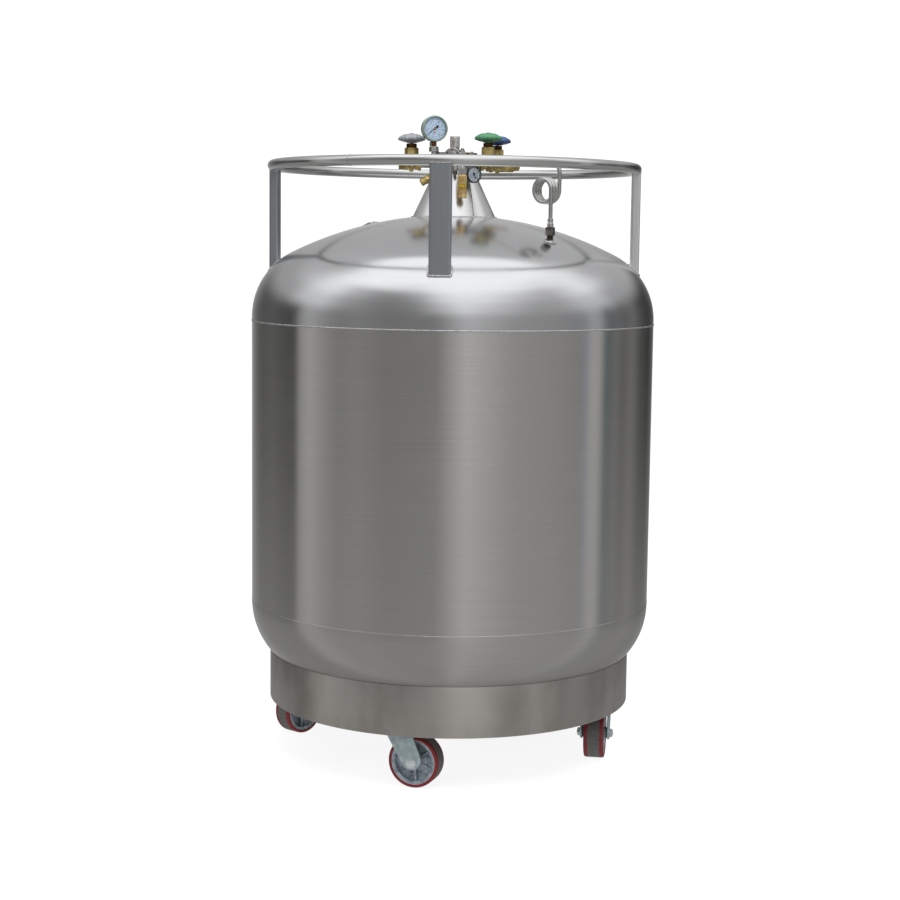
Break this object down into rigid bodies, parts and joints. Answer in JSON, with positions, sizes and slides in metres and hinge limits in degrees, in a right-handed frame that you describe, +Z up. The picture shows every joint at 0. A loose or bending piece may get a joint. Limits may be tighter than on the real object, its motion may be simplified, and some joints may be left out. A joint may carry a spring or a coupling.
{
  "type": "liquid nitrogen dewar",
  "caption": "Wheeled self-pressurised liquid nitrogen tank: insulated stainless vessel, neck with valves and gauges, ring handrail, swivel casters.",
  "frame": {"origin": "on the floor, under the vessel's axis", "axes": "+Z up along the vessel's axis, -Y towards the front, +X to the right as seen from the front"},
  "size_m": [1.011, 1.0107, 1.5969],
  "materials": {
    "shell_steel": "satin",
    "head_steel": "satin",
    "skirt_steel": "satin",
    "rail_steel": "satin",
    "post_steel": "matte",
    "fitting_steel": "satin",
    "vessel_steel": "satin",
    "spring_steel": "satin",
    "zinc_steel": "satin",
    "brass": "satin",
    "dark_brass": "matte",
    "relief_brass": "satin",
    "wheel_grey": "matte",
    "wheel_green": "matte",
    "wheel_blue": "matte",
    "gauge_enamel": "satin",
    "dark_enamel": "satin",
    "needle_black": "matte",
    "dial_white": "matte",
    "lens_glass": "polished",
    "seat_plastic": "matte",
    "glass_laminate": "matte",
    "insulation_wrap": "satin",
    "getter_case": "satin",
    "core_iron": "matte",
    "tyre_red": "satin"
  },
  "bodies": {
    "vessel": {"outer_shell": "shell_steel", "top_head": "head_steel", "bottom_head": "shell_steel", "neck_cone": "head_steel", "neck_plate": "head_steel", "skirt": "skirt_steel", "caster_pads": "skirt_steel", "handrail": "rail_steel", "posts": "post_steel", "pump_out_port": "head_steel", "inner_vessel": "vessel_steel", "insulation_blanket": "insulation_wrap", "neck_tube": "vessel_steel", "bottom_support": "glass_laminate", "adsorbent_box": "getter_case", "dip_tube": "vessel_steel", "level_probe": "vessel_steel", "pressure_building_coil": "vessel_steel", "valve_bodies": "brass", "valve_bonnets": "brass", "packing_nuts": "dark_brass", "fill_port": "fitting_steel", "manifold_pipes": "fitting_steel", "gauge_socket": "fitting_steel", "gauge_case": "gauge_enamel", "level_case": "dark_enamel", "gauge_dials": "dial_white", "gauge_lenses": "lens_glass", "relief_body": "relief_brass", "relief_spring": "spring_steel", "regulator_housing": "fitting_steel", "burst_disc_holder": "brass", "coil_tube": "fitting_steel", "tube_fitting": "fitting_steel", "caster_plates": "zinc_steel", "caster_bolts": "zinc_steel"},
    "disc_vent": {"seat_disc_vent": "seat_plastic"},
    "spindle_vent": {"stem_vent": "fitting_steel", "handwheel_vent": "wheel_grey"},
    "disc_pressure": {"seat_disc_pressure": "seat_plastic"},
    "spindle_pressure": {"stem_pressure": "fitting_steel", "handwheel_pressure": "wheel_green"},
    "disc_liquid": {"seat_disc_liquid": "seat_plastic"},
    "spindle_liquid": {"stem_liquid": "fitting_steel", "handwheel_liquid": "wheel_blue"},
    "caster_front": {"fork_front": "zinc_steel"},
    "wheel_front": {"wheel_core_front": "core_iron", "tyre_front": "tyre_red"},
    "caster_right": {"fork_right": "zinc_steel"},
    "wheel_right": {"wheel_core_right": "core_iron", "tyre_right": "tyre_red"},
    "caster_back": {"fork_back": "zinc_steel"},
    "wheel_back": {"wheel_core_back": "core_iron", "tyre_back": "tyre_red"},
    "caster_left": {"fork_left": "zinc_steel"},
    "wheel_left": {"wheel_core_left": "core_iron", "tyre_left": "tyre_red"},
    "gauge_pointer": {"gauge_needle": "needle_black"},
    "level_pointer": {"level_needle": "needle_black"},
    "relief_disc": {"relief_poppet": "spring_steel"}
  },
  "joints": [
    {"name": "lift_vent", "type": "slide", "parent": "vessel", "child": "disc_vent", "axis": [0, 0, 1], "range_m": [0, 0.0045]},
    {"name": "turn_vent", "type": "hinge", "parent": "disc_vent", "child": "spindle_vent", "pos_m": [-0.108, 0, 1.5], "axis": [0, 0, 1], "range_deg": [0, 1080]},
    {"name": "lift_pressure", "type": "slide", "parent": "vessel", "child": "disc_pressure", "axis": [0, 0, 1], "range_m": [0, 0.0045]},
    {"name": "turn_pressure", "type": "hinge", "parent": "disc_pressure", "child": "spindle_pressure", "pos_m": [0.082, -0.065, 1.5], "axis": [0, 0, 1], "range_deg": [0, 1080]},
    {"name": "lift_liquid", "type": "slide", "parent": "vessel", "child": "disc_liquid", "axis": [0, 0, 1], "range_m": [0, 0.0045]},
    {"name": "turn_liquid", "type": "hinge", "parent": "disc_liquid", "child": "spindle_liquid", "pos_m": [0.108, 0.065, 1.5], "axis": [0, 0, 1], "range_deg": [0, 1080]},
    {"name": "swivel_front", "type": "hinge", "parent": "vessel", "child": "caster_front", "pos_m": [-0.10963, -0.3701, 0.155], "axis": [0, 0, 1], "continuous": true},
    {"name": "roll_front", "type": "hinge", "parent": "caster_front", "child": "wheel_front", "pos_m": [-0.07392, -0.3831, 0.0625], "axis": [0.342, 0.9397, 0], "continuous": true},
    {"name": "swivel_right", "type": "hinge", "parent": "vessel", "child": "caster_right", "pos_m": [0.37756, -0.08025, 0.155], "axis": [0, 0, 1], "continuous": true},
    {"name": "roll_right", "type": "hinge", "parent": "caster_right", "child": "wheel_right", "pos_m": [0.37162, -0.11779, 0.0625], "axis": [0.9877, -0.1564, 0], "continuous": true},
    {"name": "swivel_back", "type": "hinge", "parent": "vessel", "child": "caster_back", "pos_m": [0.10315, 0.37196, 0.155], "axis": [0, 0, 1], "continuous": true},
    {"name": "roll_back", "type": "hinge", "parent": "caster_back", "child": "wheel_back", "pos_m": [0.08136, 0.34083, 0.0625], "axis": [0.8192, -0.5736, 0], "continuous": true},
    {"name": "swivel_left", "type": "hinge", "parent": "vessel", "child": "caster_left", "pos_m": [-0.36813, 0.11607, 0.155], "axis": [0, 0, 1], "continuous": true},
    {"name": "roll_left", "type": "hinge", "parent": "caster_left", "child": "wheel_left", "pos_m": [-0.39306, 0.08739, 0.0625], "axis": [0.7547, -0.6561, 0], "continuous": true},
    {"name": "gauge_reading", "type": "hinge", "parent": "vessel", "child": "gauge_pointer", "pos_m": [-0.052, -0.04, 1.5646], "axis": [-0.2588, 0.9659, 0], "range_deg": [-8, 262], "stiffness_Nm_per_rad": 0.005},
    {"name": "level_reading", "type": "hinge", "parent": "vessel", "child": "level_pointer", "pos_m": [0.04902, -0.07548, 1.453], "axis": [-0.5446, 0.8387, 0], "range_deg": [0, 240], "stiffness_Nm_per_rad": 0.003},
    {"name": "relief_lift", "type": "slide", "parent": "vessel", "child": "relief_disc", "axis": [0, 0, -1], "range_m": [0, 0.003], "stiffness_N_per_m": 1500, "springref_m": -0.003, "deforming": ["relief_spring"]}
  ],
  "couplings": [
    {"joint": "lift_vent", "follows": "turn_vent", "m_per_rad": 0.0002387},
    {"joint": "lift_pressure", "follows": "turn_pressure", "m_per_rad": 0.0002387},
    {"joint": "lift_liquid", "follows": "turn_liquid", "m_per_rad": 0.0002387}
  ]
}
